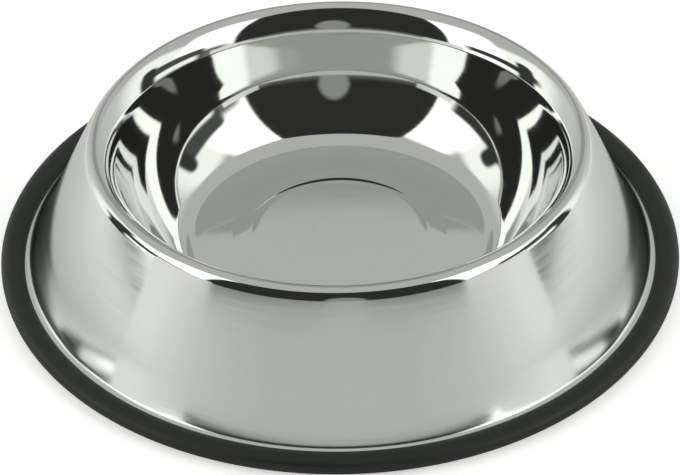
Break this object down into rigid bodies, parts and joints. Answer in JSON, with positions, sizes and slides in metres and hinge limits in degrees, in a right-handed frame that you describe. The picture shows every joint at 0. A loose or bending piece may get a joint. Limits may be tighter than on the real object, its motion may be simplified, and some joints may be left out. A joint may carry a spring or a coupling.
{
  "type": "pet bowl",
  "caption": "Non-tip stainless pet bowl with a wide conical skirt, a rolled rim, a round basin and a black rubber ring round its flange.",
  "frame": {"origin": "on the table under the centre of the bowl, which is the bottom centre of the bounding box", "axes": "+Z is the bowl's axis of revolution and points up, out of the basin"},
  "size_m": [0.28, 0.28, 0.0575],
  "materials": {
    "stainless_steel": "mirror polished in the basin and on the rim, satin on the skirt and the underside",
    "black_rubber": "smooth, half matt"
  },
  "bodies": {
    "root": {"steel_bowl": "stainless_steel", "rubber_ring": "black_rubber"}
  },
  "joints": []
}
